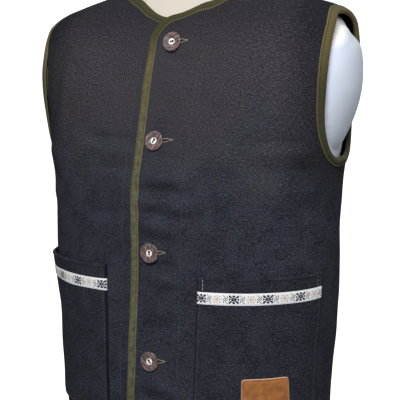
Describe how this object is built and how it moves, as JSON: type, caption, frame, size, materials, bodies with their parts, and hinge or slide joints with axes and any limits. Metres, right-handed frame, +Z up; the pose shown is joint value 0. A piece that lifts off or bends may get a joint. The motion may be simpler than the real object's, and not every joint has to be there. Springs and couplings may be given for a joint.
{
  "type": "folk vest on limbless dress form",
  "caption": "Buttoned dark wool folk vest with bound edges, ribbon-trimmed patch pockets and a leather patch, worn by a limbless dress form that stands by itself.",
  "frame": {"origin": "centre of the bounding box's base, on the flat underside of the dress form", "axes": "+Z up, -Y towards the vest's front, +X towards the wearer's left"},
  "size_m": [0.452, 0.281, 0.7657],
  "materials": {
    "wool": "dark blue-grey melange wool cloth, dull and slightly napped",
    "binding": "olive ribbed woven binding",
    "ribbon": "cream woven ribbon with navy eight-point stars and peach snowflakes",
    "leather": "bare tan leather with light cut edges",
    "horn": "brown horn-like button, satin",
    "pearl": "pale mother-of-pearl button core, glossy",
    "form_cloth": "off-white cotton jersey over a firm form"
  },
  "bodies": {
    "root": {"back": "wool", "binding_armhole_left": "binding", "binding_armhole_right": "binding", "binding_back_neck": "binding", "binding_front_left": "binding", "binding_front_right": "binding", "button_1": "horn", "button_2": "horn", "button_3": "horn", "button_4": "horn", "button_core_1": "pearl", "button_core_2": "pearl", "button_core_3": "pearl", "button_core_4": "pearl", "dress_form": "form_cloth", "front_left": "wool", "front_right": "wool", "leather_patch": "leather", "pocket_left": "wool", "pocket_right": "wool", "ribbon_left": "ribbon", "ribbon_right": "ribbon"}
  },
  "joints": []
}
